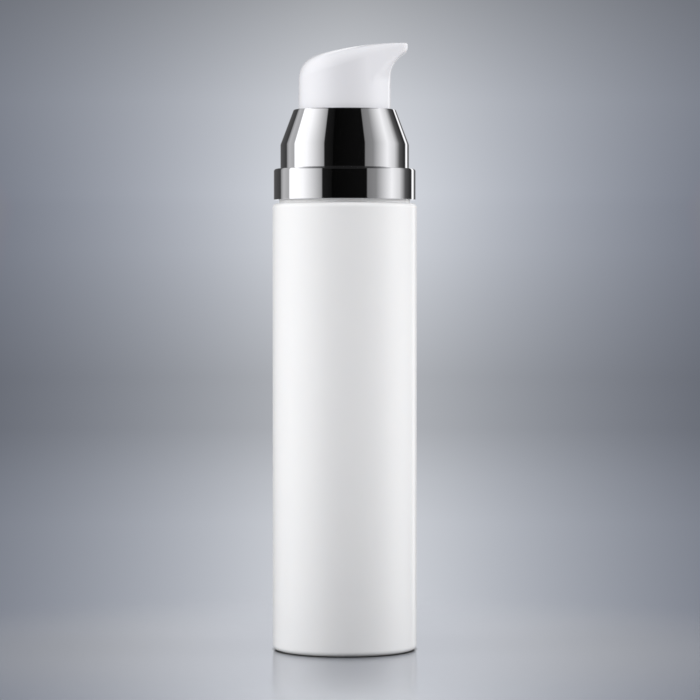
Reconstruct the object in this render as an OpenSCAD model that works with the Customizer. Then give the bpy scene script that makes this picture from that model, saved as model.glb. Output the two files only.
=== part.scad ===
// Airless pump bottle with a snap-on pump, a mirror-bright collar shell and a beak-shaped head.
// The origin is on the axis at the foot of the bottle, +Z is up and the spout points along +X.

/* [Bottle] */
// Outside diameter of the bottle
bottle_d = 33; // [31:0.5:40]
// Height of the bottle's shoulder above its foot
shoulder_h = 102.2; // [70:0.1:150]
// Thickness of the bottle's wall
bottle_wall = 2; // [1.4:0.1:2.2]
// Radius of the rounded edge at the foot
foot_edge_r = 1.2; // [0.5:0.1:1.6]
// Radius of the rounded edge at the shoulder
shoulder_edge_r = 1; // [0.4:0.1:1.5]
// Thickness of the neck's wall
neck_wall = 1.2; // [0.9:0.1:1.4]
// How far the snap bead stands out from the neck
neck_bead_out = 0.5; // [0.3:0.05:0.6]
// Height of the snap bead on the neck
neck_bead_h = 1.4; // [1:0.1:1.8]
// How far the locating step reaches up inside the collar's ring
step_lap = 0.6; // [0.3:0.1:1.2]

/* [Collar shell] */
// Height of the shaded groove between the shoulder and the ring
groove_h = 0.8; // [0.4:0.1:1.5]
// How far the ring stands in from the bottle's side
ring_inset = 0.25; // [0:0.05:0.6]
// Height of the wide ring
ring_h = 7.1; // [6:0.1:9]
// How far the grip cylinder stands in from the ring
ring_step = 1.52; // [1.2:0.02:2]
// Height of the grip cylinder
grip_h = 5.5; // [4:0.1:8]
// Height of the cone
cone_h = 8; // [7:0.1:10]
// Width of the rim round the cone's opening
rim_w = 0.72; // [0.6:0.02:1]
// Thickness of the shell's wall
shell_wall = 1; // [0.8:0.05:1.2]
// Radius of the shell's rounded edges
shell_edge_r = 0.35; // [0.1:0.05:0.5]

/* [Closure] */
// Thickness of the closure's skirt
closure_wall = 0.8; // [0.7:0.05:1]
// Thickness of the closure's deck
deck_t = 1.2; // [1:0.1:1.5]
// How far the deck lies below the foot of the cone
deck_drop = 1; // [0.4:0.1:1.6]
// Thickness of the tower that guides the head
tower_wall = 1; // [0.8:0.05:1.2]
// Number of ribs that hold the ring
ring_ribs = 16; // [8:1:24]
// Width of one rib
ring_rib_w = 1.2; // [0.8:0.1:1.6]

/* [Head] */
// Diameter of the head's skirt
head_d = 21.2; // [19:0.1:23]
// Thickness of the head's skirt
head_wall = 1.2; // [1:0.05:1.4]
// Draft of the head's side, in degrees
head_draft = 0.7; // [0:0.1:1.5]
// Height of the head's round part above the collar
head_round_h = 7.5; // [6.8:0.1:9]
// Height of the head's highest point above the collar
head_h = 15.15; // [14.5:0.05:17]
// Radius of the arc along the top, seen from the side
top_arc_r = 71; // [55:1:100]
// Where the top is highest, measured from the axis
top_apex_x = 13.2; // [11:0.1:14]
// How far the top falls away 10 mm to the side
top_crown = 0.9; // [0.3:0.1:1.5]
// Radius of the top's rounded edge at the back
edge_r_back = 5.1; // [3:0.1:5.5]
// Radius of the top's rounded edge at the tip
edge_r_tip = 0.5; // [0.3:0.1:0.7]
// Thickness of solid head above its hollow, at the highest point
roof_t = 7.85; // [7:0.05:9]

/* [Spout] */
// Reach of the spout's tip from the axis
spout_reach = 14.37; // [13.5:0.01:14.5]
// Radius of the hollow arc under the spout
spout_arc_r = 5.95; // [5.6:0.05:6.4]
// Width of the spout where its tip is cut off
tip_w = 8; // [6:0.1:9]
// Width over which the tip's upright corners are rounded
tip_corner = 1.2; // [0.8:0.1:2]
// How far below the arc the spout's flanks start to stand out of the round part
flank_rise = 1.2; // [0.4:0.1:2]
// Rounding of the tip's lower edge
tip_low_r = 0.8; // [0.4:0.1:1.2]
// Diameter of the outlet channel
channel_d = 1.2; // [1:0.1:1.4]
// Slope of the outlet channel, in degrees
channel_slope = 12; // [10:1:14]

/* [Pump] */
// Stroke of the head
stroke = 5.5; // [4:0.1:5.8]
// Inside diameter of the pump's chamber
chamber_d = 8.4; // [8:0.1:9]
// Thickness of the chamber's wall
chamber_wall = 1.2; // [1:0.1:1.4]
// Thickness of the housing's flange
flange_t = 1.1; // [0.9:0.1:1.4]
// Thickness of the neck gasket
gasket_t = 0.8; // [0.5:0.1:1.2]
// Depth of the plug that seals the neck's bore
plug_h = 4.8; // [3:0.1:7]
// Outside diameter of the stem
stem_d = 5.24; // [5:0.02:5.5]
// Diameter of the stem's bore
stem_bore_d = 2.8; // [2.4:0.1:3]
// Outside diameter of the stem's thin foot, on which the slip seal slides
stem_foot_d = 4.4; // [4.2:0.05:4.6]
// Diameter of the stem's spring flange
spring_flange_d = 10.4; // [10:0.1:11.5]
// Thickness of the stem's spring flange
spring_flange_t = 1.2; // [1:0.1:1.6]
// Depth of the head's socket on the stem
socket_h = 4.8; // [3.5:0.1:5.5]
// Free travel of the slip seal on the stem
seal_slip = 0.8; // [0.5:0.1:1]
// Length of the slip seal
seal_h = 3.4; // [3:0.1:4]
// Diameter of the plunger rod's valve head
valve_head_d = 6.6; // [6.2:0.1:7]
// Thickness of the plunger rod's valve head
valve_head_t = 1; // [0.8:0.1:1.4]
// Diameter of the inlet ball
ball_d = 3; // [2.8:0.1:3.2]
// Lift of the inlet ball
ball_lift = 0.5; // [0.3:0.1:0.8]
// Diameter of the inlet hole under the ball
inlet_d = 2; // [1.8:0.1:2]

/* [Bushing and spring] */
// Diameter of the bushing's flange
bushing_flange_d = 12.4; // [12:0.1:12.8]
// Thickness of the bushing's flange
bushing_flange_t = 1; // [0.8:0.1:1.2]
// Depth of the bushing's skirt in the chamber
bushing_skirt_h = 2.6; // [2:0.1:3]
// Height of the bushing's spigot inside the spring
spigot_h = 1.6; // [1:0.1:2.5]
// Length of the spring at rest
spring_h = 12.5; // [11.5:0.1:13]
// Diameter of the spring's wire
wire_d = 0.8; // [0.6:0.05:0.85]
// Number of turns of the spring
spring_turns = 7; // [5:1:7]

/* [Follower piston and base plate] */
// Height of the follower piston
follower_h = 9; // [8:0.1:12]
// Thickness of the follower's walls
follower_wall = 1.3; // [1:0.1:1.5]
// How far the base plate is set in from the foot
plate_inset = 0.6; // [0.3:0.1:1.2]
// Thickness of the base plate
plate_t = 1.4; // [1.2:0.1:2]
// Height of the base plate's rim
plate_rim_h = 4.1; // [3.5:0.1:5]
// Diameter of the vent hole in the base plate
vent_d = 2; // [1:0.1:3]

/* [Fits] */
// Radial gap of a seated fit
seat_gap = 0.05; // [0.03:0.01:0.08]
// Radial gap of a running fit
run_gap = 0.08; // [0.05:0.01:0.1]
// Radial gap between the head and the collar's opening
head_gap = 0.37; // [0.3:0.01:0.5]
// Gap between the ring and the bottle's locating step
ring_gap = 0.31; // [0.2:0.01:0.5]
// Gap that is left at the end of a travel
stop_gap = 0.5; // [0.3:0.1:0.8]

/* [Hidden] */
$fn = 96;
past = 1;               // how far a cutting solid runs past the face that it opens
arc_step = 12;          // degrees of arc for each straight piece of a rounded edge

// Radii, from the bottle's side inwards
bottle_r = bottle_d / 2;
bore_r = bottle_r - bottle_wall;
ring_r = bottle_r - ring_inset;
grip_r = ring_r - ring_step;
step_r = ring_r - shell_wall - ring_gap;
head_r = head_d / 2;
opening_r = head_r + head_gap;
rim_r = opening_r + rim_w;
closure_r = grip_r - shell_wall - seat_gap;
closure_in_r = closure_r - closure_wall;
neck_bead_r = closure_in_r - seat_gap;
neck_r = neck_bead_r - neck_bead_out;
neck_bore_r = neck_r - neck_wall;
skirt_in_r = head_r - head_wall;
tower_r = skirt_in_r - 2 * run_gap;
chamber_r = chamber_d / 2;
stem_r = stem_d / 2;
ball_r = ball_d / 2;
bushing_flange_r = bushing_flange_d / 2;

// Heights, from the foot upwards
shoulder_in_z = shoulder_h - bottle_wall;
ring_z = shoulder_h + groove_h;
step_z = ring_z + step_lap;
grip_z = ring_z + ring_h;
cone_z = grip_z + grip_h;
rim_z = cone_z + cone_h;
deck_z = cone_z - deck_drop;
flange_z = deck_z - deck_t;
gasket_z = flange_z - flange_t;
neck_z = gasket_z - gasket_t;
bead_z = neck_z - 3 * neck_bead_h;

// The stem's bushing, the spring and the head's seat on the stem
bushing_z = flange_z - bushing_flange_t - 0.4;
spring_z = bushing_z + bushing_flange_t;
spring_flange_z = spring_z + spring_h;
boss_z = spring_flange_z + spring_flange_t + seat_gap;
socket_end_z = boss_z + socket_h;
spigot_r = stem_r + run_gap + 1.1;
spring_r = spigot_r + 0.1 + wire_d / 2;

// The slip seal, the plunger rod and the chamber
bushing_skirt_z = bushing_z - bushing_skirt_h;
seal_top_z = bushing_skirt_z - seat_gap;
seal_z = seal_top_z - seal_h;
valve_head_z = seal_z - seat_gap - valve_head_t;
chamber_floor_z = valve_head_z - stroke - stop_gap;

// The ball's cage under the chamber: a 45 degree seat, four guide ribs and their nubs
seat_z = chamber_floor_z - ball_d - ball_lift - 0.5;
cage_r = ball_r + 0.8;
cage_z = seat_z + cage_r - inlet_d / 2;
ball_z = seat_z - inlet_d / 2 + (ball_r + seat_gap) * sqrt(2);
nub_z = ball_z + ball_r + ball_lift + 2 * seat_gap;
housing_z = seat_z - 0.6;

// The follower piston stands just above the base plate's rim
plate_rim_z = plate_inset + plate_rim_h;
follower_z = plate_rim_z + 0.3;
follower_top_z = follower_z + follower_h;
follower_travel = shoulder_in_z - follower_top_z - 0.2;
well_r = chamber_r + chamber_wall + 0.8;
well_floor_z = housing_z - follower_travel - stop_gap;

// The head
head_z = deck_z + stroke + stop_gap;
apex_z = rim_z + head_h;
spout_z = rim_z + head_round_h;
roof_z = apex_z - roof_t;
boss_r = stem_r + run_gap + 1.5;
side_r = head_r - (spout_z - head_z) * tan(head_draft);
arc_x = side_r + spout_arc_r;
crown_k = top_crown / pow(10, 2);
tip_low_z = spout_z + sqrt(pow(spout_arc_r, 2) - pow(arc_x - spout_reach, 2));
orifice_z = (tip_low_z + apex_z) / 2;
flank_z = spout_z - flank_rise;
flank_lean = atan2(tip_w / 2, spout_reach) + acos(side_r / norm([spout_reach, tip_w / 2]));

// Rounds the corner b between a and c with radius r
function arc_corner(a, b, c, r) =
    let (
        u = (a - b) / norm(a - b),
        v = (c - b) / norm(c - b),
        half = acos(u * v) / 2,
        centre = b + (u + v) / norm(u + v) * r / sin(half),
        from = b + u * r / tan(half) - centre,
        to = b + v * r / tan(half) - centre,
        start = atan2(from.y, from.x),
        turn = atan2(from.x * to.y - from.y * to.x, from * to),
        steps = max(2, ceil(abs(turn) / arc_step))
    )
    [for (i = [0:steps]) centre + r * [cos(start + turn * i / steps), sin(start + turn * i / steps)]];

// An outline of corners [x, z, radius], where a radius of 0 stays sharp
function rounded(corners) =
    let (n = len(corners))
    [for (i = [0:n - 1])
        let (
            a = [corners[(i + n - 1) % n].x, corners[(i + n - 1) % n].y],
            b = [corners[i].x, corners[i].y],
            c = [corners[(i + 1) % n].x, corners[(i + 1) % n].y]
        )
        each corners[i][2] > 0 ? arc_corner(a, b, c, corners[i][2]) : [b]];

module turned(corners) {
    rotate_extrude()
        polygon(rounded(corners));
}

// A ring with a plain rectangular section
module ring(inner, outer, low, high) {
    turned([[inner, low, 0], [outer, low, 0], [outer, high, 0], [inner, high, 0]]);
}

// Barrel, shoulder, locating step and neck in one moulding, open at the foot for the follower
module bottle() {
    color("white")
        difference() {
            turned([
                [bore_r, 0, 0],
                [bottle_r, 0, foot_edge_r],
                [bottle_r, shoulder_h, shoulder_edge_r],
                [step_r, shoulder_h, 0],
                [step_r, step_z, 0.2],
                [neck_r, step_z, 0],
                [neck_r, bead_z - neck_bead_out, 0],
                [neck_bead_r, bead_z, 0],
                [neck_bead_r, bead_z + neck_bead_h - neck_bead_out, 0],
                [neck_r, bead_z + neck_bead_h, 0],
                [neck_r, neck_z, 0.2],
                [neck_bore_r, neck_z, 0.2],
                [neck_bore_r, shoulder_in_z, 0.4],
                [bore_r, shoulder_in_z, 0.4]
            ]);
            snap_groove();
        }
}

// Groove in the bore that the base plate's bead snaps into
bead_out = 0.25;
bead_low_z = plate_inset + plate_t;
bead_h = 0.8;

module snap_groove() {
    turned([
        [bore_r - past, bead_low_z - seat_gap, 0],
        [bore_r + bead_out, bead_low_z - seat_gap, 0],
        [bore_r + bead_out, bead_low_z + bead_h, 0],
        [bore_r - past, bead_low_z + bead_h + past, 0]
    ]);
}

// Disc with a standing rim, a snap bead and a vent hole
module base_plate() {
    plate_r = bore_r - seat_gap;
    rim_in_r = bore_r - 2 * follower_wall;
    plate_top_z = plate_inset + plate_t;
    color("gainsboro")
        difference() {
            turned([
                [0, plate_inset, 0],
                [plate_r, plate_inset, 0.3],
                [plate_r, bead_low_z, 0],
                [plate_r + bead_out, bead_low_z, 0],
                [plate_r + bead_out, bead_low_z + bead_h / 2, 0],
                [plate_r, bead_low_z + bead_h, 0],
                [plate_r, plate_rim_z, 0],
                [rim_in_r, plate_rim_z, 0.3],
                [rim_in_r, plate_top_z, 0.5],
                [0, plate_top_z, 0]
            ]);
            translate([0, 0, plate_inset - past])
                cylinder(r = vent_d / 2, h = plate_t + 2 * past);
        }
}

// Piston with an upper and a lower lip, and a well that clears the foot of the pump
module follower_piston() {
    lip_r = bore_r - run_gap;
    lip_h = 1.6;
    wall_r = lip_r - 0.5;
    crown_z = follower_top_z - 0.8;
    color("whitesmoke")
        turned([
            [0, well_floor_z - follower_wall, 0],
            [well_r + follower_wall, well_floor_z - follower_wall, 0.6],
            [well_r + follower_wall, crown_z - follower_wall, 0.5],
            [wall_r - follower_wall, crown_z - follower_wall, 0.5],
            [wall_r - follower_wall, follower_z + lip_h, 0],
            [lip_r - follower_wall / 2, follower_z, 0],
            [lip_r, follower_z, 0],
            [wall_r, follower_z + lip_h, 0],
            [wall_r, follower_top_z - lip_h, 0],
            [lip_r, follower_top_z, 0],
            [lip_r - follower_wall / 2, follower_top_z, 0],
            [wall_r - follower_wall, crown_z, 0],
            [well_r, crown_z, 0.6],
            [well_r, well_floor_z, 0.6],
            [0, well_floor_z, 0]
        ]);
}

module neck_gasket() {
    color("ivory")
        ring(neck_bore_r + seat_gap, neck_r - seat_gap, neck_z, gasket_z);
}

// The chamber with its flange on the neck, its plug in the neck's bore and the inlet at its foot
module pump_housing() {
    plug_r = neck_bore_r - seat_gap;
    tube_r = chamber_r + chamber_wall;
    recess_r = bushing_flange_r + seat_gap;
    recess_wall = 1.2;
    color("white")
        difference() {
            union() {
                ring(chamber_r, neck_r - seat_gap, gasket_z, flange_z);
                turned([
                    [plug_r - chamber_wall, neck_z - plug_h, 0],
                    [plug_r - 0.3, neck_z - plug_h, 0],
                    [plug_r, neck_z - plug_h + 1, 0],
                    [plug_r, gasket_z + 0.1, 0],
                    [plug_r - chamber_wall, gasket_z + 0.1, 0]
                ]);
                turned([
                    [0, housing_z, 0],
                    [cage_r + chamber_wall, housing_z, 0.4],
                    [cage_r + chamber_wall, chamber_floor_z - 1.4, 0],
                    [tube_r, chamber_floor_z - 0.6, 0],
                    [tube_r, bushing_z - 3 * recess_wall, 0],
                    [recess_r + recess_wall, bushing_z - recess_wall, 0],
                    [recess_r + recess_wall, flange_z, 0],
                    [0, flange_z, 0]
                ]);
            }
            translate([0, 0, chamber_floor_z])
                cylinder(r = chamber_r, h = flange_z - chamber_floor_z + past);
            translate([0, 0, bushing_z])
                cylinder(r = recess_r, h = flange_z - bushing_z + past);
            cage_hollow();
        }
}

// The inlet hole, its 45 degree seat and the cage, less four ribs with nubs that keep the ball in
module cage_hollow() {
    rib_w = 1;
    difference() {
        turned([
            [0, housing_z - past, 0],
            [inlet_d / 2, housing_z - past, 0],
            [inlet_d / 2, seat_z, 0],
            [cage_r, cage_z, 0],
            [cage_r, chamber_floor_z + past, 0],
            [0, chamber_floor_z + past, 0]
        ]);
        for (i = [0:3])
            rotate([0, 0, 45 + 90 * i]) {
                translate([ball_r + run_gap, -rib_w / 2, cage_z])
                    cube([cage_r, rib_w, chamber_floor_z - cage_z]);
                translate([ball_r - 0.3, -rib_w / 2, nub_z])
                    cube([cage_r, rib_w, chamber_floor_z - nub_z]);
            }
    }
}

module inlet_ball() {
    color("silver")
        translate([0, 0, ball_z])
            sphere(r = ball_r);
}

// Slip seal: a hub on the stem's foot, a web and a wiper with an upper and a lower lip
module pump_piston() {
    hub_in_r = stem_foot_d / 2 + run_gap;
    hub_r = stem_r + run_gap + 0.45;
    lip_r = chamber_r - seat_gap;
    wiper_r = lip_r - 0.12;
    wiper_in_r = lip_r - 0.45;
    mid_z = seal_z + seal_h / 2;
    web_t = 1;
    color("mintcream")
        turned([
            [hub_in_r, seal_z, 0],
            [hub_r, seal_z, 0],
            [hub_r, mid_z - web_t / 2, 0],
            [wiper_in_r, mid_z - web_t / 2, 0],
            [lip_r - 0.2, seal_z + 0.5, 0],
            [lip_r, seal_z + 0.5, 0],
            [wiper_r, mid_z, 0],
            [lip_r, seal_z + seal_h - 0.5, 0],
            [lip_r - 0.2, seal_z + seal_h - 0.5, 0],
            [wiper_in_r, mid_z + web_t / 2, 0],
            [hub_r, mid_z + web_t / 2, 0],
            [hub_r, seal_top_z, 0],
            [hub_in_r, seal_top_z, 0]
        ]);
}

// Fluted shank pressed into the stem, with the valve head that closes the slip seal
module plunger_rod() {
    shank_r = stem_bore_d / 2 - seat_gap;
    shank_h = 2 * seal_h;
    flute_r = 0.5;
    color("white") {
        turned([
            [0, valve_head_z, 0],
            [valve_head_d / 2 - 0.4, valve_head_z, 0],
            [valve_head_d / 2, valve_head_z + 0.4, 0],
            [valve_head_d / 2, valve_head_z + valve_head_t, 0],
            [0, valve_head_z + valve_head_t, 0]
        ]);
        difference() {
            translate([0, 0, valve_head_z + valve_head_t / 2])
                cylinder(r = shank_r, h = valve_head_t / 2 + shank_h);
            for (i = [0:3])
                rotate([0, 0, 90 * i])
                    translate([shank_r, 0, valve_head_z + valve_head_t])
                        cylinder(r = flute_r, h = shank_h + past, $fn = 24);
        }
    }
}

// Hollow stem with the flange that the spring pushes up
module stem() {
    foot_r = stem_foot_d / 2;
    color("white")
        difference() {
            turned([
                [0, seal_z + 0.8, 0],
                [foot_r, seal_z + 0.8, 0],
                [foot_r, seal_top_z + seal_slip, 0],
                [stem_r, seal_top_z + seal_slip, 0],
                [stem_r, spring_flange_z, 0],
                [spring_flange_d / 2, spring_flange_z, 0],
                [spring_flange_d / 2, spring_flange_z + spring_flange_t, 0.3],
                [stem_r, spring_flange_z + spring_flange_t, 0],
                [stem_r, socket_end_z - 0.3, 0.3],
                [0, socket_end_z - 0.3, 0]
            ]);
            translate([0, 0, seal_z])
                cylinder(r = stem_bore_d / 2, h = socket_end_z - seal_z + past);
        }
}

// Guides the stem, stops the slip seal on its way up and carries the spring
module stem_bushing() {
    skirt_r = chamber_r - seat_gap;
    color("white")
        turned([
            [stem_r + run_gap, bushing_skirt_z, 0],
            [skirt_r, bushing_skirt_z, 0.2],
            [skirt_r, bushing_z, 0],
            [bushing_flange_r, bushing_z, 0],
            [bushing_flange_r, spring_z, 0.2],
            [spigot_r, spring_z, 0],
            [spigot_r, spring_z + spigot_h, 0.3],
            [stem_r + run_gap, spring_z + spigot_h, 0]
        ]);
}

// One unbroken tube along a helix, its first and last turns drawn close together
wire_sides = 8;
turn_rings = 20;
closed_pitch = wire_d + 0.15;
open_pitch = (spring_h - wire_d - 2 * closed_pitch) / (spring_turns - 2);

function helix_z(turns) =
    spring_z + wire_d / 2
    + closed_pitch * (min(turns, 1) + max(turns - spring_turns + 1, 0))
    + open_pitch * min(max(turns - 1, 0), spring_turns - 2);

module return_spring() {
    last_ring = spring_turns * turn_rings;
    points = [
        for (i = [0:last_ring], j = [0:wire_sides - 1])
            let (
                turn = 360 * i / turn_rings,
                side = 360 * j / wire_sides,
                r = spring_r + wire_d / 2 * cos(side)
            )
            [r * cos(turn), r * sin(turn), helix_z(i / turn_rings) + wire_d / 2 * sin(side)]
    ];
    walls = [
        for (i = [0:last_ring - 1], j = [0:wire_sides - 1])
            let (
                a = i * wire_sides + j,
                b = i * wire_sides + (j + 1) % wire_sides
            )
            each [[a, b, b + wire_sides], [a, b + wire_sides, a + wire_sides]]
    ];
    ends = [
        for (j = [1:wire_sides - 2])
            each [[0, j + 1, j], last_ring * wire_sides * [1, 1, 1] + [0, j, j + 1]]
    ];
    color("silver")
        polyhedron(points = points, faces = concat(walls, ends));
}

// Snap-on cap inside the shell: skirt, deck, guide tower and the ribs that carry the ring
module closure() {
    skirt_z = step_z + 0.3;
    snap_z = bead_z - neck_bead_out - 0.2;
    hole_r = bushing_flange_r + 1.2;
    tower_top_z = roof_z - stroke - stop_gap;
    rib_top_z = grip_z - shell_wall;
    rib_r = ring_r - shell_wall - seat_gap;
    color("lightgrey") {
        difference() {
            cylinder(r = closure_r, h = deck_z);
            translate([0, 0, -past])
                cylinder(r = closure_r + past, h = skirt_z + past);
            turned([
                [0, -past, 0],
                [closure_in_r, -past, 0],
                [closure_in_r, snap_z - 1.2, 0],
                [neck_r + 0.1, snap_z - 0.8, 0],
                [neck_r + 0.1, snap_z - 0.3, 0],
                [closure_in_r, snap_z, 0],
                [closure_in_r, flange_z, 0],
                [0, flange_z, 0]
            ]);
            cylinder(r = hole_r, h = deck_z + past);
        }
        ring(tower_r - tower_wall, tower_r, deck_z - 0.2, tower_top_z);
        ring(closure_r - 0.2, rib_r, skirt_z, skirt_z + 1);
        for (i = [0:ring_ribs - 1])
            rotate([0, 0, 360 * i / ring_ribs])
                translate([closure_r - 0.2, -ring_rib_w / 2, skirt_z + 0.5])
                    cube([rib_r - closure_r, ring_rib_w, rib_top_z - skirt_z - 0.5]);
    }
}

// One stepped shell: wide ring, grip cylinder and cone
module collar_shell() {
    slope = (grip_r - rim_r) / cone_h;
    wall_across = shell_wall * sqrt(1 + slope * slope);
    in_top_z = rim_z - (opening_r + wall_across - rim_r) / slope;
    in_foot_z = cone_z - (wall_across - shell_wall) / slope;
    color("silver")
        turned([
            [ring_r - shell_wall, ring_z, 0],
            [ring_r, ring_z, shell_edge_r],
            [ring_r, grip_z, shell_edge_r],
            [grip_r, grip_z, 0],
            [grip_r, cone_z, 1.5],
            [rim_r, rim_z, shell_edge_r],
            [opening_r, rim_z, 0],
            [opening_r, in_top_z, 0],
            [grip_r - shell_wall, in_foot_z, 0],
            [grip_r - shell_wall, grip_z - shell_wall, 0],
            [ring_r - shell_wall, grip_z - shell_wall, 0]
        ]);
}

// The head's outer skin, worked out from its side view and its plan
sectors = 64;
wall_steps = [0, 0.3, 0.5, 0.56, 0.62, 0.68, 0.74, 0.79, 0.83, 0.86, 0.89, 0.915, 0.935, 0.955, 0.975];
edge_steps = 6;
top_steps = 4;

// Height of the top surface, and its slope outwards along the direction t
function top_z(x, y) =
    apex_z - top_arc_r + sqrt(pow(top_arc_r, 2) - pow(x - top_apex_x, 2)) - crown_k * y * y;
function top_fall(r, t) =
    atan((r * cos(t) - top_apex_x) / top_arc_r * cos(t) + 2 * crown_k * r * pow(sin(t), 2));

// The lesser of two values, blended over the width k
function soft_min(a, b, k) =
    min(a, b) - pow(max(k - abs(a - b), 0), 2) / k / 4;

// Radius of the round part at height z, and reach of the spout: the round part, the arc above it, then the tip
function round_r(z) =
    head_r - (z - head_z) * tan(head_draft);
function reach_at(z) =
    z <= spout_z ? round_r(z) :
    soft_min(arc_x - sqrt(max(pow(spout_arc_r, 2) - pow(z - spout_z, 2), 0)), spout_reach, tip_low_r);

// Plan at height z in the direction t: a circle, with flanks that touch it and are cut off at the reach.
// At this share of the head's radius the blend of their corners leaves only the circle. It shrinks upwards.
full_blend = 0.75;
function plan_r(t, z) =
    let (
        r = round_r(z),
        a = abs(t > 180 ? t - 360 : t),
        fade = max(1 - (z - flank_z) / (tip_low_z - flank_z), 0),
        blend = tip_corner + (full_blend * head_r - tip_corner) * pow(fade, 2)
    )
    z <= flank_z || a >= flank_lean ? r :
    max(r, soft_min(r / cos(a - flank_lean), reach_at(z) / cos(a), blend));

// Radius of the top's rounded edge, which shrinks from the back to the tip
function edge_r(x) =
    edge_r_tip + (edge_r_back - edge_r_tip) * (spout_reach - x) / (spout_reach + head_r);

module head_skin() {
    rings = len(wall_steps) + edge_steps + 1 + top_steps - 1;
    columns = [
        for (i = [0:sectors - 1])
            let (
                t = 360 * i / sectors,
                outer = plan_r(t, apex_z - 1),
                e = edge_r(outer * cos(t)),
                fall = top_fall(outer - e, t),
                inner = outer - e * (1 - sin(fall)),
                rim = top_z(inner * cos(t), inner * sin(t)),
                centre_z = rim - e * cos(fall)
            )
            concat(
                [for (s = wall_steps)
                    let (z = head_z + s * (centre_z - head_z))
                    [plan_r(t, z), z]],
                [for (k = [0:edge_steps])
                    let (a = (90 - fall) * k / edge_steps)
                    [outer - e + e * cos(a), centre_z + e * sin(a)]],
                [for (k = [1:top_steps - 1])
                    let (r = inner * (1 - k / top_steps))
                    [r, top_z(r * cos(t), r * sin(t))]]
            )
    ];
    points = concat(
        [for (k = [0:rings - 1], i = [0:sectors - 1])
            let (
                t = 360 * i / sectors,
                p = columns[i][k]
            )
            [p[0] * cos(t), p[0] * sin(t), p[1]]],
        [[0, 0, head_z], [0, 0, top_z(0, 0)]]
    );
    foot = rings * sectors;
    faces = concat(
        [for (k = [0:rings - 2], i = [0:sectors - 1])
            let (
                a = k * sectors + i,
                b = k * sectors + (i + 1) % sectors
            )
            each [[a, b + sectors, b], [a, a + sectors, b + sectors]]],
        [for (i = [0:sectors - 1])
            each [[foot, i, (i + 1) % sectors],
                  [foot + 1, (rings - 1) * sectors + (i + 1) % sectors, (rings - 1) * sectors + i]]]
    );
    polyhedron(points = points, faces = faces);
}

// The head with its hollow skirt, the socket on the stem and the outlet channel
module actuator() {
    color("white")
        difference() {
            head_skin();
            difference() {
                translate([0, 0, head_z - past])
                    cylinder(r = skirt_in_r, h = roof_z - head_z + past);
                translate([0, 0, boss_z])
                    cylinder(r = boss_r, h = apex_z - boss_z);
            }
            translate([0, 0, boss_z - past])
                cylinder(r = stem_r + run_gap, h = socket_h + past);
            translate([0, 0, socket_end_z - past])
                cylinder(r = stem_bore_d / 2, h = orifice_z - spout_reach * tan(channel_slope)
                         - socket_end_z + past + channel_d / 2);
            translate([0, 0, orifice_z - spout_reach * tan(channel_slope)])
                rotate([0, 90 - channel_slope, 0])
                    cylinder(r = channel_d / 2, h = spout_reach + 2 * past);
        }
}

bottle();
base_plate();
follower_piston();
neck_gasket();
pump_housing();
inlet_ball();
pump_piston();
plunger_rod();
stem();
stem_bushing();
return_spring();
closure();
collar_shell();
actuator();
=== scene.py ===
import math

import bmesh
import bpy
from mathutils import Matrix, Vector


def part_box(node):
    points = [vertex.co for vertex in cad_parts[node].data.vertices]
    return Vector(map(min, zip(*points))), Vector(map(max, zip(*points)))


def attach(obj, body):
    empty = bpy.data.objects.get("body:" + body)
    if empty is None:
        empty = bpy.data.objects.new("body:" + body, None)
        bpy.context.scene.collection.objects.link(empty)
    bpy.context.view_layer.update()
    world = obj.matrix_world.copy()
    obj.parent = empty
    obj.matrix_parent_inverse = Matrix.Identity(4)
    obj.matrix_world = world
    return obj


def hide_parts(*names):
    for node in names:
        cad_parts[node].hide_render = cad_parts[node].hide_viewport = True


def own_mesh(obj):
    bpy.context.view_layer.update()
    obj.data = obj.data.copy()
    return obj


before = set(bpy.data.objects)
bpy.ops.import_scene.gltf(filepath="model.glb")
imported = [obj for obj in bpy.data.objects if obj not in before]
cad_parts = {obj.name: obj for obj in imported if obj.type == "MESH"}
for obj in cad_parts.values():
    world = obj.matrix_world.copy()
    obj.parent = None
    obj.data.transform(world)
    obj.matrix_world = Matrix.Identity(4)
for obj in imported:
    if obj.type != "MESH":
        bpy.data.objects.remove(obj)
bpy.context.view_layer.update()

# Sizes are in millimetres, and heights count from the foot of the bottle. What the CAD boxes can give
# comes from them. The other sizes are those of the CAD source, apart from some edge radii and the flare
# of the outlet's mouth. The base plate's snap bead and the groove for it don't show and are left out.
MM = 0.001


def top_mm(node):
    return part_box(node)[1].z / MM


def low_mm(node):
    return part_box(node)[0].z / MM


def radius_mm(node):
    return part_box(node)[1].y / MM


# Bottle
BOTTLE_R = radius_mm("bottle")
NECK_Z = top_mm("bottle")
BOTTLE_WALL = 2.0
BORE_R = BOTTLE_R - BOTTLE_WALL
BORE_EDGE_R = 0.15
FOOT_EDGE_R = 1.2
SHOULDER_Z = 102.2
SHOULDER_EDGE_R = 1.0
SHOULDER_IN_EDGE_R = 0.4
STEP_R = 14.94
STEP_Z = 103.6
STEP_FOOT_R = 0.1
STEP_EDGE_R = 0.2
NECK_R = 12.33
NECK_BORE_R = 11.13
NECK_EDGE_R = 0.2
BEAD_R = 12.83
BEAD_Z = 107.3
BEAD_H = 1.4
BEAD_RAMP = 0.5

# Collar shell
RING_R = radius_mm("collar_shell")
RING_Z = low_mm("collar_shell")
RIM_Z = top_mm("collar_shell")
SHELL_WALL = 1.0
GRIP_R = 14.73
GRIP_Z = 110.1
CONE_Z = 115.6
OPENING_R = 10.97
RIM_W = 0.72
RING_LOW_EDGE_R = 0.15
RING_TOP_EDGE_R = 0.6
GRIP_FOOT_R = 0.3
CONE_EDGE_R = 1.5
RIM_EDGE_R = 0.4
SHELL_IN_EDGE_R = 0.1
OPENING_EDGE_R = 0.15

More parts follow.
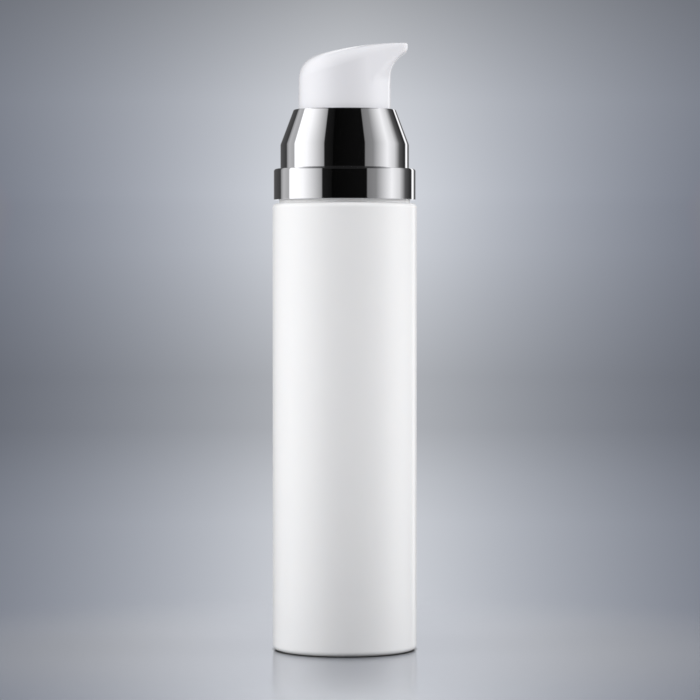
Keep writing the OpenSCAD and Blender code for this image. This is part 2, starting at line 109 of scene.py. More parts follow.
# Head and spout
HEAD_Z = low_mm("actuator")
APEX_Z = top_mm("actuator")
HEAD_R = radius_mm("actuator")
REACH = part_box("actuator")[1].x / MM
HEAD_DRAFT = math.radians(0.7)
SPOUT_Z = 131.1
SPOUT_ARC_R = 5.95
SPOUT_ROOT_R = HEAD_R - (SPOUT_Z - HEAD_Z) * math.tan(HEAD_DRAFT)
TOP_ARC_R = 71.0
TOP_APEX_X = 13.2
TOP_CROWN = 0.9 / 10 ** 2       # fall in mm at 1 mm to the side, so 0.9 mm at 10 mm
EDGE_R_BACK = 5.1
EDGE_R_TIP = 0.5
TIP_W = 8.0
TIP_CORNER = 1.2
TIP_LOW_BLEND = 0.8
TIP_LOW_Z = SPOUT_Z + math.sqrt(SPOUT_ARC_R ** 2 - (SPOUT_ROOT_R + SPOUT_ARC_R - REACH) ** 2)
FLANK_RISE = 1.2
FLANK_Z = SPOUT_Z - FLANK_RISE
FLANK_LEAN = math.atan2(TIP_W / 2, REACH) + math.acos(SPOUT_ROOT_R / math.hypot(REACH, TIP_W / 2))
FULL_BLEND = 0.75 * HEAD_R
TOP_PLAN_Z = APEX_Z - 1         # height at which the outline of the top is taken
SOFTENING = 6                   # rounds of smoothing along each column of the skin
TIP_CROWDING = 0.78             # draws the columns together at the tip
WALL_CROWDING = 1.35            # draws the points of a column's wall together at its top

# Inside the head
SKIRT_IN_R = 9.4
ROOF_Z = 130.9
ROOF_CORNER_R = 0.5
BOSS_R = 4.2
BOSS_Z = 126.75
BOSS_ROOT_R = 0.3
BOSS_EDGE_R = 0.1
SOCKET_R = 2.7
SOCKET_END_Z = 131.55
RISER_R = 1.4
CHANNEL_R = 0.6
CHANNEL_SLOPE = math.radians(12)
CHANNEL_LENGTH = REACH / math.cos(CHANNEL_SLOPE)
MOUTH_DEPTH = 0.3
MOUTH_FLARE = 0.12
ORIFICE_Z = (TIP_LOW_Z + APEX_Z) / 2
CHANNEL_Z = ORIFICE_Z - REACH * math.tan(CHANNEL_SLOPE)

# Base plate
PLATE_INSET = low_mm("base_plate")
PLATE_RIM_Z = top_mm("base_plate")
PLATE_R = 14.45
PLATE_IN_R = 11.9
PLATE_T = 1.4
PLATE_TOP_Z = PLATE_INSET + PLATE_T
PLATE_EDGE_R = 0.3
PLATE_CORNER_R = 0.5
VENT_R = 1.0
VENT_EDGE_R = 0.15

# Spring
SPRING_LOW_Z = low_mm("return_spring")
SPRING_TOP_Z = top_mm("return_spring")
WIRE_R = 0.4
SPRING_R = 4.3
SPRING_TURNS = 7
CLOSED_PITCH = 0.95

# Meshes

SHARP_ANGLE = 32                # degrees between two faces from which their edge stays sharp
ARC_STEP = 7                    # most degrees of arc for a straight piece of a rounded corner
SIDE_MARGIN = 0.12              # distance of the extra points from the ends of a straight side
LONGEST_PIECE = 6.0


def smooth(mesh):
    mesh.polygons.foreach_set("use_smooth", [True] * len(mesh.polygons))
    mesh.set_sharp_from_angle(angle=math.radians(SHARP_ANGLE))


def show(name, verts, faces):
    """A piece from points in millimetres, smooth except where its faces meet at a real edge."""
    mesh = bpy.data.meshes.new(name)
    mesh.from_pydata([(x * MM, y * MM, z * MM) for x, y, z in verts], [], faces)
    mesh.validate()
    solid = bmesh.new()
    solid.from_mesh(mesh)
    bmesh.ops.recalc_face_normals(solid, faces=solid.faces)
    solid.to_mesh(mesh)
    solid.free()
    smooth(mesh)
    piece = bpy.data.objects.new(name, mesh)
    bpy.context.scene.collection.objects.link(piece)
    return piece


def circle(count):
    return [2 * math.pi * i / count for i in range(count)]


def round_corner(a, b, c, r):
    """Points of the arc of radius r, in place of the corner b between a and c."""
    a, b, c = Vector(a), Vector(b), Vector(c)
    u, v = (a - b).normalized(), (c - b).normalized()
    half = u.angle(v) / 2
    centre = b + (u + v).normalized() * r / math.sin(half)
    start = b + u * r / math.tan(half) - centre
    end = b + v * r / math.tan(half) - centre
    turn = math.atan2(start.x * end.y - start.y * end.x, start.dot(end))
    steps = max(3, math.ceil(abs(math.degrees(turn)) / ARC_STEP))
    first = math.atan2(start.y, start.x)
    angles = [first + turn * i / steps for i in range(steps + 1)]
    return [(centre.x + r * math.cos(t), centre.y + r * math.sin(t)) for t in angles]


def outline(corners, closed=True):
    """Corners (r, z, radius) as an outline, with points close to each end of every straight side."""
    rough = []
    for i, (x, z, r) in enumerate(corners):
        before, after = corners[i - 1][:2], corners[(i + 1) % len(corners)][:2]
        rough += round_corner(before, (x, z), after, r) if r else [(x, z)]
    points = []
    for i, p in enumerate(rough):
        q = rough[(i + 1) % len(rough)]
        length = math.dist(p, q)
        points.append(p)
        if length > 3 * SIDE_MARGIN and (closed or i + 1 < len(rough)):
            parts = math.ceil(length / LONGEST_PIECE)
            inner = [SIDE_MARGIN / length]
            inner += [k / parts for k in range(1, parts)]
            inner += [1 - SIDE_MARGIN / length]
            points += [(p[0] + (q[0] - p[0]) * t, p[1] + (q[1] - p[1]) * t) for t in inner]
    return points


def turned(name, corners, sectors=192):
    """A closed outline turned round the axis, which it doesn't touch."""
    verts, rings = [], []
    for x, z in outline(corners):
        rings.append(list(range(len(verts), len(verts) + sectors)))
        verts += [(x * math.cos(t), x * math.sin(t), z) for t in circle(sectors)]
    faces = []
    for k, ring in enumerate(rings):
        following = rings[(k + 1) % len(rings)]
        for i in range(sectors):
            j = (i + 1) % sectors
            faces.append([ring[i], ring[j], following[j], following[i]])
    return show(name, verts, faces)


def tube_faces(rings, sides):
    """Faces of a closed tube whose rings of vertices follow one another."""
    faces = []
    for i in range(rings - 1):
        for j in range(sides):
            a, b = i * sides + j, i * sides + (j + 1) % sides
            faces.append([a, b, b + sides, a + sides])
    ends = [list(range(sides))[::-1], list(range((rings - 1) * sides, rings * sides))]
    return faces + ends


def make_barrel():
    return turned("barrel", [
        (BORE_R, 0, BORE_EDGE_R),
        (BOTTLE_R, 0, FOOT_EDGE_R),
        (BOTTLE_R, SHOULDER_Z, SHOULDER_EDGE_R),
        (STEP_R, SHOULDER_Z, STEP_FOOT_R),
        (STEP_R, STEP_Z, STEP_EDGE_R),
        (NECK_R, STEP_Z, 0),
        (NECK_R, BEAD_Z - BEAD_RAMP, 0),
        (BEAD_R, BEAD_Z, 0),
        (BEAD_R, BEAD_Z + BEAD_H - BEAD_RAMP, 0),
        (NECK_R, BEAD_Z + BEAD_H, 0),
        (NECK_R, NECK_Z, NECK_EDGE_R),
        (NECK_BORE_R, NECK_Z, NECK_EDGE_R),
        (NECK_BORE_R, SHOULDER_Z - BOTTLE_WALL, SHOULDER_IN_EDGE_R),
        (BORE_R, SHOULDER_Z - BOTTLE_WALL, SHOULDER_IN_EDGE_R),
    ], sectors=256)


def make_base_plate():
    return turned("base_disc", [
        (VENT_R, PLATE_INSET, VENT_EDGE_R),
        (PLATE_R, PLATE_INSET, PLATE_EDGE_R),
        (PLATE_R, PLATE_RIM_Z, 0),
        (PLATE_IN_R, PLATE_RIM_Z, PLATE_EDGE_R),
        (PLATE_IN_R, PLATE_TOP_Z, PLATE_CORNER_R),
        (VENT_R, PLATE_TOP_Z, VENT_EDGE_R),
    ])


def make_collar():
    rim_r = OPENING_R + RIM_W
    slope = (GRIP_R - rim_r) / (RIM_Z - CONE_Z)
    across = SHELL_WALL * math.hypot(1, slope)
    in_top = RIM_Z - (OPENING_R + across - rim_r) / slope
    in_foot = CONE_Z - (across - SHELL_WALL) / slope
    return turned("mirror_collar", [
        (RING_R - SHELL_WALL, RING_Z, SHELL_IN_EDGE_R),
        (RING_R, RING_Z, RING_LOW_EDGE_R),
        (RING_R, GRIP_Z, RING_TOP_EDGE_R),
        (GRIP_R, GRIP_Z, GRIP_FOOT_R),
        (GRIP_R, CONE_Z, CONE_EDGE_R),
        (rim_r, RIM_Z, RIM_EDGE_R),
        (OPENING_R, RIM_Z, OPENING_EDGE_R),
        (OPENING_R, in_top, 0),
        (GRIP_R - SHELL_WALL, in_foot, 0),
        (GRIP_R - SHELL_WALL, GRIP_Z - SHELL_WALL, 0),
        (RING_R - SHELL_WALL, GRIP_Z - SHELL_WALL, 0),
    ], sectors=256)


# The head. Its skin follows the arcs of the side view, and in plan a circle with two flanks that the
# reach cuts off.


def soft_min(a, b, k):
    """The lesser of two values, blended where they differ by less than k."""
    return min(a, b) - max(k - abs(a - b), 0) ** 2 / k / 4


def side_r(z):
    return HEAD_R - (z - HEAD_Z) * math.tan(HEAD_DRAFT)


def reach_at(z):
    """Reach of the spout: the round part, then the hollow arc above it, then the tip."""
    if z <= SPOUT_Z:
        return side_r(z)
    arc = math.sqrt(max(SPOUT_ARC_R ** 2 - (z - SPOUT_Z) ** 2, 0))
    return soft_min(SPOUT_ROOT_R + SPOUT_ARC_R - arc, REACH, TIP_LOW_BLEND)


def plan_r(t, z):
    """Radius of the head at height z in the direction t."""
    r, reach = side_r(z), reach_at(z)
    a = abs(math.remainder(t, 2 * math.pi))
    if z <= FLANK_Z or a >= FLANK_LEAN:
        return r
    fade = max(1 - (z - FLANK_Z) / (TIP_LOW_Z - FLANK_Z), 0)
    blend = TIP_CORNER + (FULL_BLEND - TIP_CORNER) * fade ** 2
    return max(r, soft_min(r / math.cos(a - FLANK_LEAN), reach / math.cos(a), blend))


def top_z(x, y):
    drop = TOP_ARC_R - math.sqrt(TOP_ARC_R ** 2 - (x - TOP_APEX_X) ** 2)
    return APEX_Z - drop - TOP_CROWN * y * y


def top_fall(r, t):
    """Slope of the top outwards, as an angle."""
    along = (r * math.cos(t) - TOP_APEX_X) / TOP_ARC_R * math.cos(t)
    return math.atan(along + 2 * TOP_CROWN * r * math.sin(t) ** 2)


def head_column(t, top_steps=12, edge_steps=14, wall_steps=56):
    """Points (r, z) of the skin in the direction t, from the top's middle down to the skirt's edge."""
    outer = plan_r(t, TOP_PLAN_Z)
    x = outer * math.cos(t)
    edge = EDGE_R_TIP + (EDGE_R_BACK - EDGE_R_TIP) * (REACH - x) / (REACH + HEAD_R)
    fall = top_fall(outer - edge, t)
    inner = outer - edge * (1 - math.sin(fall))
    centre_z = top_z(inner * math.cos(t), inner * math.sin(t)) - edge * math.cos(fall)
    column = []
    for k in range(1, top_steps):
        r = inner * k / top_steps
        column.append((r, top_z(r * math.cos(t), r * math.sin(t))))
    for k in range(edge_steps + 1):
        a = (math.pi / 2 - fall) * (1 - k / edge_steps)
        column.append((outer - edge + edge * math.cos(a), centre_z + edge * math.sin(a)))
    for k in range(1, wall_steps + 1):
        z = centre_z + (HEAD_Z - centre_z) * (k / wall_steps) ** WALL_CROWDING
        column.append((plan_r(t, z), z))
    for _ in range(SOFTENING):
        threes = zip(column, column[1:], column[2:])
        middle = [tuple((a + 2 * b + c) / 4 for a, b, c in zip(*three)) for three in threes]
        column = column[:1] + middle + column[-1:]
    return column


def make_head(sectors=320):
    hollow = outline([
        (SKIRT_IN_R, HEAD_Z, 0),
        (SKIRT_IN_R, ROOF_Z, ROOF_CORNER_R),
        (BOSS_R, ROOF_Z, BOSS_ROOT_R),
        (BOSS_R, BOSS_Z, BOSS_EDGE_R),
        (SOCKET_R, BOSS_Z, BOSS_EDGE_R),
        (SOCKET_R, SOCKET_END_Z, 0),
        (RISER_R, SOCKET_END_Z, 0),
        (RISER_R, CHANNEL_Z + CHANNEL_R, 0),
    ], closed=False)
    columns = []
    for a in circle(sectors):
        t = a - TIP_CROWDING * math.sin(a)
        columns.append((t, head_column(t) + hollow))
    verts, rings = [(0, 0, top_z(0, 0))], []
    for k in range(len(columns[0][1])):
        rings.append(list(range(len(verts), len(verts) + sectors)))
        for t, column in columns:
            r, z = column[k]
            verts.append((r * math.cos(t), r * math.sin(t), z))
    faces = [[0, rings[0][i], rings[0][(i + 1) % sectors]] for i in range(sectors)]
    for ring, following in zip(rings, rings[1:]):
        for i in range(sectors):
            j = (i + 1) % sectors
            faces.append([ring[i], following[i], following[j], ring[j]])
    faces.append(rings[-1])
    head = show("pump_head", verts, faces)
    drill(head)
    return head


def drill(head, sides=64, past_face=0.02, past_tip=2.0, past_r=1.6):
    """Cuts the outlet channel, from the riser to the flared mouth in the spout's tip."""
    stations = [
        (0, CHANNEL_R),
        (CHANNEL_LENGTH - MOUTH_DEPTH, CHANNEL_R),
        (CHANNEL_LENGTH + past_face, CHANNEL_R + MOUTH_FLARE),
        (CHANNEL_LENGTH + past_tip, past_r),
    ]
    turn = Matrix.Rotation(-CHANNEL_SLOPE, 4, "Y")
    base = Vector((0, 0, CHANNEL_Z))
    verts = []
    for along, r in stations:
        for t in circle(sides):
            verts.append(tuple(turn @ Vector((along, r * math.cos(t), r * math.sin(t))) + base))
    cutter = show("channel_cutter", verts, tube_faces(len(stations), sides))
    cut = head.modifiers.new("channel", "BOOLEAN")
    cut.operation = "DIFFERENCE"
    cut.solver = "EXACT"
    cut.object = cutter
    depsgraph = bpy.context.evaluated_depsgraph_get()
    drilled = bpy.data.meshes.new_from_object(head.evaluated_get(depsgraph))
    head.modifiers.clear()
    head.data = drilled
    smooth(drilled)
    bpy.data.objects.remove(cutter)


def make_spring(sides=14, turn_rings=48):
    """One unbroken wire along a helix whose first and last turns are drawn close together."""
    height = SPRING_TOP_Z - SPRING_LOW_Z - 2 * WIRE_R
    open_pitch = (height - 2 * CLOSED_PITCH) / (SPRING_TURNS - 2)
    verts = []
    rings = SPRING_TURNS * turn_rings + 1
    for i in range(rings):
        turns = i / turn_rings
        closed = min(turns, 1) + max(turns - SPRING_TURNS + 1, 0)
        z = SPRING_LOW_Z + WIRE_R + CLOSED_PITCH * closed
        z += open_pitch * min(max(turns - 1, 0), SPRING_TURNS - 2)
        t = 2 * math.pi * turns
        for a in circle(sides):
            r = SPRING_R + WIRE_R * math.cos(a)
            verts.append((r * math.cos(t), r * math.sin(t), z + WIRE_R * math.sin(a)))
    return show("coil_spring", verts, tube_faces(rings, sides))


# Materials


def linear(colour):
    """An sRGB hex colour as linear red, green, blue and alpha."""
    parts = [int(colour[i:i + 2], 16) / 255 for i in (1, 3, 5)]
    return [p / 12.92 if p <= 0.04045 else ((p + 0.055) / 1.055) ** 2.4 for p in parts] + [1.0]


def add(tree, kind, settings=None, links=None):
    """Adds a node, sets its properties and sockets by name, and links its inputs."""
    made = tree.nodes.new(kind)
    for name, value in (settings or {}).items():
        if isinstance(name, str) and hasattr(made, name):
            setattr(made, name, value)
        else:
            made.inputs[name].default_value = value
    for name, source in (links or {}).items():
        tree.links.new(source, made.inputs[name])
    return made


def finish_of(name, sockets):
    """A new material with its shader, whose constant sockets are set here."""
    material = bpy.data.materials.new(name)
    material.use_nodes = True
    tree = material.node_tree
    tree.nodes.clear()
    shader = add(tree, "ShaderNodeBsdfPrincipled", sockets)
    output = add(tree, "ShaderNodeOutputMaterial", {}, {"Surface": shader.outputs[0]})
    return material, tree, shader, output


def speckle(tree, shader, base, other, roughness, size_mm, bump_um):
    """Colour and bump vary a little over patches of size_mm, and roughness over a quarter of that."""
    place = add(tree, "ShaderNodeTexCoord").outputs["Object"]
    per_metre = 1000 / size_mm
    patches = add(tree, "ShaderNodeTexNoise",
                  {"Scale": per_metre, "Detail": 3.0, "Roughness": 0.55}, {"Vector": place})
    tone = add(tree, "ShaderNodeMix",
               {"data_type": "RGBA", 6: linear(base), 7: linear(other)}, {0: patches.outputs["Fac"]})
    tree.links.new(tone.outputs[2], shader.inputs["Base Color"])
    fine = add(tree, "ShaderNodeTexNoise", {"Scale": 4 * per_metre, "Detail": 2.0}, {"Vector": place})
    gloss = add(tree, "ShaderNodeMapRange",
                {"To Min": roughness[0], "To Max": roughness[1]}, {"Value": fine.outputs["Fac"]})
    tree.links.new(gloss.outputs[0], shader.inputs["Roughness"])
    bump = add(tree, "ShaderNodeBump",
               {"Distance": bump_um * 1e-6, "Strength": 1.0}, {"Height": patches.outputs["Fac"]})
    tree.links.new(bump.outputs[0], shader.inputs["Normal"])


def gloss_pp(name, base, other, gleam, roughness):
    """Polypropylene, injection-moulded in a polished tool: bright white with a soft deep gloss.

    The melt's flow leaves a wave some 9 mm long, and light goes in by about 1 mm."""
    material, tree, shader, _ = finish_of(name, {
        "IOR": 1.49, "Specular IOR Level": gleam, "Subsurface Weight": 0.12,
        "Subsurface Radius": (0.0012, 0.0011, 0.001), "Subsurface Scale": 1.0})
    speckle(tree, shader, base, other, roughness, size_mm=9.0, bump_um=3.0)
    return material


def metallised_abs():
    """ABS, vacuum-metallised under clear lacquer: a mirror with sharp edges of light and a faint wave."""
    material, tree, shader, _ = finish_of("metallised_abs", {"Metallic": 1.0})
    speckle(tree, shader, "#EEEEF0", "#E6E6EA", (0.015, 0.035), size_mm=7.0, bump_um=0.6)
    return material


def plain_moulding(name, base, other, ior=1.5):
    """A working part moulded in polyolefin or POM: milky, with the satin of an etched tool.

    The etching is finer than 0.1 mm and is drawn at 2 mm, so that it shows."""
    material, tree, shader, _ = finish_of(name, {"IOR": ior})
    speckle(tree, shader, base, other, (0.38, 0.5), size_mm=2.0, bump_um=4.0)
    return material


def stainless_wire():
    """Stainless steel, drawn or ground: a grey metal with fine marks.

    The marks are finer than 0.1 mm and are drawn at 0.8 mm, so that they show."""
    material, tree, shader, _ = finish_of("stainless_steel", {"Metallic": 1.0})
    speckle(tree, shader, "#B9B8B4", "#A4A39F", (0.18, 0.3), size_mm=0.8, bump_um=1.0)
    return material


def dress(piece, material):
    piece.data.materials.clear()
    piece.data.materials.append(material)


# The object

white_barrel = gloss_pp("white_pp_barrel", "#F1F1F0", "#EEEEEE", 0.35, (0.2, 0.26))
white_head = gloss_pp("white_pp_head", "#E8E8EB", "#E6E6E9", 0.25, (0.13, 0.17))
mirror = metallised_abs()
natural_pp = plain_moulding("natural_pp", "#D9DCDD", "#D0D4D6")
natural_pe = plain_moulding("natural_pe", "#E2E5E2", "#DADEDB", 1.54)
satin_white_pp = plain_moulding("satin_white_pp", "#E6E6E6", "#E0E0E1")
steel = stainless_wire()

ROWS = [
    (make_barrel(), "bottle", "bottle_body", white_barrel),
    (make_base_plate(), "base_plate", "bottle_body", satin_white_pp),
    (make_collar(), "collar_shell", "bottle_body", mirror),
    (make_spring(), "return_spring", "bottle_body", steel),
    (make_head(), "actuator", "head", white_head),
]
for piece, node, body, material in ROWS:
    dress(piece, material)
    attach(piece, body)
    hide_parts(node)
    if node == "return_spring":
        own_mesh(piece)

# The nodes that show as they are. The bushing is POM, which looks like the white PP.
CAD_FINISHES = {
    "follower_piston": natural_pe,
    "neck_gasket": natural_pe,
    "pump_piston": natural_pe,
    "pump_housing": satin_white_pp,
    "plunger_rod": satin_white_pp,
    "stem": satin_white_pp,
    "stem_bushing": satin_white_pp,
    "closure": natural_pp,
    "inlet_ball": steel,
}
for node, material in CAD_FINISHES.items():
    dress(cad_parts[node], material)


# The camera, level with the barrel's upper half and tilted down a little. Rows, columns and the focal
# length are in pixels of the square picture, and its place is in metres.

PHOTO_PX = 700
FOCAL_PX = 3157
EYE_ROW = 269.9
AXIS_COLUMN = 344.7
DISTANCE = 0.723
EYE_Z = 0.087
SENSOR_MM = 36


def make_camera():
    data = bpy.data.cameras.new("camera")
    data.sensor_width = SENSOR_MM
    data.lens = FOCAL_PX * SENSOR_MM / PHOTO_PX
    camera = bpy.data.objects.new("camera", data)
    camera.location = ((PHOTO_PX / 2 - AXIS_COLUMN) * DISTANCE / FOCAL_PX, -DISTANCE, EYE_Z)
    pitch = math.atan((PHOTO_PX / 2 - EYE_ROW) / FOCAL_PX)
    camera.rotation_euler = (math.pi / 2 - pitch, 0, 0)
    bpy.context.scene.collection.objects.link(camera)
    bpy.context.scene.camera = camera


# The studio. Glossy surfaces mirror tall panels round the set. A panel has two shares of a mirrored
# cylinder's half-width between which it shows, from -1 at the left edge to 1 at the right, and its
# brightness at each.

PANELS = [
    (-1.00, -0.892, 0.10, 0.05),
    (-0.892, -0.850, 0.32, 0.53),
    (-0.850, -0.772, 0.53, 0.44),
    (-0.772, -0.590, 1.35, 1.18),
    (-0.590, -0.316, 1.18, 0.36),
    (-0.316, -0.180, 0.013, 0.006),
    (-0.180, 0.314, 0.002, 0.005),
    (0.314, 0.430, 0.21, 0.27),
    (0.430, 0.660, 0.27, 1.05),
    (0.660, 0.760, 1.05, 0.80),
    (0.760, 0.850, 0.77, 0.12),
    (0.850, 0.940, 0.09, 0.010),
    (0.940, 0.966, 1.30, 1.30),
    (0.966, 1.00, 0.09, 0.09),
]
PANEL_PEAK = 1.35
PANEL_EDGE = 0.006              # half the width over which one panel passes into the next

# How much of the panels' brightness is left, by the sine of the height above the horizon. It is nearly
# dark above them, with a weak strip in which no tone is under STRIP_TONE. Rounded edges catch that strip
# as a thin line.
PANEL_LIFT = [(0.0, 1.0), (0.735, 1.0), (0.77, 0.15), (0.93, 0.15), (0.97, 0.03)]
STRIP_SHARE = [(0.0, 0.0), (0.74, 0.0), (0.77, 1.0), (0.93, 1.0), (0.97, 0.0)]
STRIP_TONE = (0.18, 0.18, 0.18, 1.0)

# Straight behind the set stands a pale low wall, brightest in the middle. The floor mirrors it, and so do
# the very edges of the bottle.
BEHIND = (0.95, 0.98)
WALL_COLOUR = "#F8FAFF"
WALL_HALF = (0.01, 0.11)
WALL_POWER = (0.92, 0.42)

# Matt surfaces get an even fill from all round
FILL_COLOUR = "#EDEDF0"
FILL = 0.72

# The backdrop that the camera sees: tones by the sine of the height, tinted a little blue
BACKDROP_SPAN = (-0.14, 0.09)
BACKDROP_TINT = (0.968, 1.0, 1.064)
BACKDROP = [
    (-0.134, 0.67),
    (-0.080, 0.652),
    (-0.066, 0.583),
    (-0.050, 0.472),
    (-0.034, 0.472),
    (-0.010, 0.593),
    (0.006, 0.68),
    (0.024, 0.727),
    (0.053, 0.635),
    (0.086, 0.39),
]
# Its glow fades outwards from the middle, the red a little faster than the blue, and it is narrowest
# at one height
GLOW_REACH = (0.072, 0.075, 0.084)
GLOW_CORE = 0.02
GLOW_SPREAD = [(-0.134, 0.80), (-0.040, 0.88), (0.020, 1.0), (0.086, 0.66)]
GLOW_FLOOR = (0.30, 0.305, 0.325)


def shades(tree, stops, value, low, high):
    """Tones by value from low to high, with a grey or a colour at each stop."""
    place = add(tree, "ShaderNodeMapRange",
                {"From Min": low, "From Max": high}, {"Value": value}).outputs[0]
    ramp = add(tree, "ShaderNodeValToRGB", {}, {"Fac": place})
    elements = ramp.color_ramp.elements
    elements.remove(elements[-1])
    for i, (at, tone) in enumerate(stops):
        spot = (at - low) / (high - low)
        stop = elements.new(spot) if i else elements[0]
        stop.position = spot
        stop.color = (*tone, 1.0) if isinstance(tone, tuple) else (tone, tone, tone, 1.0)
    return ramp.outputs["Color"]


def mirrored_set(tree, x, y, z):
    """What gloss mirrors: the panels by the share of a mirrored cylinder, and the wall behind."""
    toward = add(tree, "ShaderNodeMath", {"operation": "SUBTRACT", 0: 1.0}, {1: y}).outputs[0]
    half_angle = add(tree, "ShaderNodeMath", {"operation": "ARCTAN2"}, {0: x, 1: toward}).outputs[0]
    share = add(tree, "ShaderNodeMath", {"operation": "SINE"}, {0: half_angle}).outputs[0]
    stops = []
    for start, end, first, last in PANELS:
        stops += [(start + PANEL_EDGE, first / PANEL_PEAK), (end - PANEL_EDGE, last / PANEL_PEAK)]
    tones = shades(tree, stops, share, -1.0, 1.0)
    strip = shades(tree, STRIP_SHARE, z, 0.0, 1.0)
    lift = shades(tree, PANEL_LIFT, z, 0.0, 1.0)
    lined = add(tree, "ShaderNodeMix",
                {"data_type": "RGBA", "blend_type": "LIGHTEN", 7: STRIP_TONE}, {0: strip, 6: tones})
    power = add(tree, "ShaderNodeMath", {"operation": "MULTIPLY", 1: PANEL_PEAK}, {0: lift}).outputs[0]
    panels = add(tree, "ShaderNodeBackground", {}, {"Color": lined.outputs[2], "Strength": power})
    behind = add(tree, "ShaderNodeMapRange",
                 {"From Min": BEHIND[0], "From Max": BEHIND[1]}, {"Value": y}).outputs[0]
    off_middle = add(tree, "ShaderNodeMath", {"operation": "ABSOLUTE"}, {0: x}).outputs[0]
    wall_power = add(tree, "ShaderNodeMapRange", {
        "interpolation_type": "SMOOTHSTEP", "From Min": WALL_HALF[0], "From Max": WALL_HALF[1],
        "To Min": WALL_POWER[0], "To Max": WALL_POWER[1]}, {"Value": off_middle}).outputs[0]
    wall = add(tree, "ShaderNodeBackground", {"Color": linear(WALL_COLOUR)}, {"Strength": wall_power})
    return add(tree, "ShaderNodeMixShader", {}, {0: behind, 1: panels.outputs[0], 2: wall.outputs[0]})


def backdrop(tree, x, z):
    """What the camera sees: tones by height, with a glow behind the bottle that fades to both sides."""
    tinted = [(at, tuple(tone * c for c in BACKDROP_TINT)) for at, tone in BACKDROP]
    tones = shades(tree, tinted, z, *BACKDROP_SPAN)
    squared = add(tree, "ShaderNodeMath",
                  {"operation": "MULTIPLY_ADD", 2: GLOW_CORE ** 2}, {0: x, 1: x}).outputs[0]
    side = add(tree, "ShaderNodeMath", {"operation": "SQRT"}, {0: squared}).outputs[0]
    spread = add(tree, "ShaderNodeMath", {"operation": "MULTIPLY", 1: -1.0},
                 {0: shades(tree, GLOW_SPREAD, z, *BACKDROP_SPAN)}).outputs[0]
    past_core = add(tree, "ShaderNodeMath",
                    {"operation": "SUBTRACT", 1: GLOW_CORE}, {0: side}).outputs[0]
    outward = add(tree, "ShaderNodeMath",
                  {"operation": "MULTIPLY"}, {0: past_core, 1: spread}).outputs[0]
    fades = {}
    for channel, reach in enumerate(GLOW_REACH):
        steps = add(tree, "ShaderNodeMath", {"operation": "DIVIDE", 1: reach}, {0: outward}).outputs[0]
        fades[channel] = add(tree, "ShaderNodeMath", {"operation": "EXPONENT"}, {0: steps}).outputs[0]
    glow = add(tree, "ShaderNodeCombineXYZ", {}, fades).outputs[0]
    kept = add(tree, "ShaderNodeVectorMath",
               {"operation": "MAXIMUM", 1: GLOW_FLOOR}, {0: glow}).outputs[0]
    shown = add(tree, "ShaderNodeVectorMath",
                {"operation": "MULTIPLY"}, {0: tones, 1: kept}).outputs[0]
    return add(tree, "ShaderNodeBackground", {}, {"Color": shown})


def make_world():
    world = bpy.data.worlds.new("studio")
    bpy.context.scene.world = world
    world.use_nodes = True
    tree = world.node_tree
    tree.nodes.clear()
    place = add(tree, "ShaderNodeTexCoord").outputs["Generated"]
    x, y, z = add(tree, "ShaderNodeSeparateXYZ", {}, {0: place}).outputs
    mirrored, seen = mirrored_set(tree, x, y, z), backdrop(tree, x, z)
    fill = add(tree, "ShaderNodeBackground", {"Color": linear(FILL_COLOUR), "Strength": FILL})
    path = add(tree, "ShaderNodeLightPath").outputs
    lit = add(tree, "ShaderNodeMixShader", {},
              {0: path["Is Glossy Ray"], 1: fill.outputs[0], 2: mirrored.outputs[0]})
    mixed = add(tree, "ShaderNodeMixShader", {},
                {0: path["Is Camera Ray"], 1: lit.outputs[0], 2: seen.outputs[0]})
    add(tree, "ShaderNodeOutputWorld", {}, {"Surface": mixed.outputs[0]})


# Lamps: the azimuth from the camera's side in degrees, then height, width, length and distance in
# metres, and watts. All of them aim at LAMP_AIM.
LAMPS = {
    "left_panel": (-72, 0.6, 0.8, 1.1, 1.6, 17.7),
    "right_panel": (84, 0.6, 0.6, 1.1, 1.6, 17.6),
    "top_panel": (0, 1.0, 0.7, 0.7, 0.05, 0.4),
}
LAMP_AIM = Vector((0, 0, 0.07))


def make_lamp(name, azimuth, height, width, tall, distance, power):
    """A soft panel that lights the set but isn't mirrored, so that the panels above keep their edges."""
    data = bpy.data.lights.new(name, "AREA")
    data.shape = "RECTANGLE"
    data.size = width
    data.size_y = tall
    data.energy = power
    lamp = bpy.data.objects.new(name, data)
    a = math.radians(azimuth)
    lamp.location = (distance * math.sin(a), -distance * math.cos(a), height)
    lamp.rotation_euler = (LAMP_AIM - lamp.location).to_track_quat("-Z", "Y").to_euler()
    lamp.visible_glossy = False
    lamp.visible_camera = False
    bpy.context.scene.collection.objects.link(lamp)


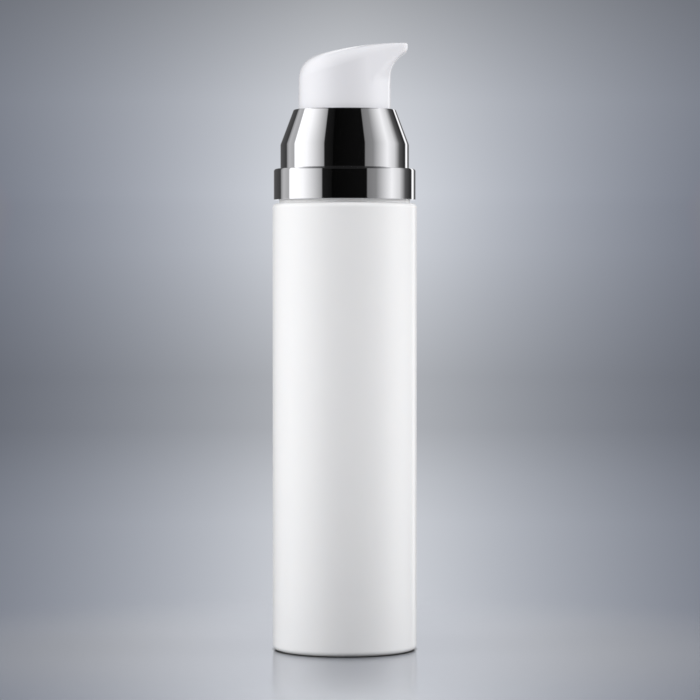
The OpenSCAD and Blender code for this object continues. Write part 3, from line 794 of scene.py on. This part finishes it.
# The floor, in millimetres for its mesh and in metres for its shader
FLOOR_R = 6000
FLOOR_FADE = (0.035, 0.13)
# The next two give the span and the dark colour of a painted contact shadow on the floor round the foot
CONTACT_SHADOW_SPAN = (0.0163, 0.0169)
CONTACT_SHADOW_COLOUR = "#1A1B1E"
SWEEP_COLOUR = "#B0B4BD"


def make_floor(rings=48, sectors=96):
    """A satin sweep, pale near the bottle, that fades into the backdrop with distance, with a painted
    contact shadow round the foot.
    """
    verts, faces = [(0, 0, 0)], []
    for k in range(1, rings + 1):
        r = FLOOR_R * (k / rings) ** 2
        verts += [(r * math.cos(t), r * math.sin(t), 0) for t in circle(sectors)]
    for i in range(sectors):
        faces.append([0, 1 + i, 1 + (i + 1) % sectors])
    for k in range(rings - 1):
        for i in range(sectors):
            a, b = 1 + k * sectors + i, 1 + k * sectors + (i + 1) % sectors
            faces.append([a, a + sectors, b + sectors, b])
    floor = show("floor", verts, faces)
    material, tree, shader, output = finish_of("satin_sweep", {"Metallic": 0.72, "Roughness": 0.2})
    place = add(tree, "ShaderNodeNewGeometry").outputs["Position"]
    far = add(tree, "ShaderNodeVectorMath", {"operation": "LENGTH"}, {0: place}).outputs["Value"]
    fade = add(tree, "ShaderNodeMapRange", {
        "interpolation_type": "SMOOTHSTEP", "From Min": FLOOR_FADE[0], "From Max": FLOOR_FADE[1]},
        {"Value": far}).outputs[0]
    # A painted contact shadow: the sweep's colour is near black on the thin ring where the foot stands
    past_contact_shadow = add(tree, "ShaderNodeMapRange",
                     {"From Min": CONTACT_SHADOW_SPAN[0], "From Max": CONTACT_SHADOW_SPAN[1]}, {"Value": far}).outputs[0]
    tone = add(tree, "ShaderNodeMix",
               {"data_type": "RGBA", 6: linear(CONTACT_SHADOW_COLOUR), 7: linear(SWEEP_COLOUR)}, {0: past_contact_shadow})
    tree.links.new(tone.outputs[2], shader.inputs["Base Color"])
    clear = add(tree, "ShaderNodeBsdfTransparent")
    mixed = add(tree, "ShaderNodeMixShader", {}, {0: fade, 1: shader.outputs[0], 2: clear.outputs[0]})
    tree.links.new(mixed.outputs[0], output.inputs["Surface"])
    dress(floor, material)


make_camera()
make_world()
make_floor()
for name, values in LAMPS.items():
    make_lamp(name, *values)
bpy.context.scene.view_settings.view_transform = "Standard"
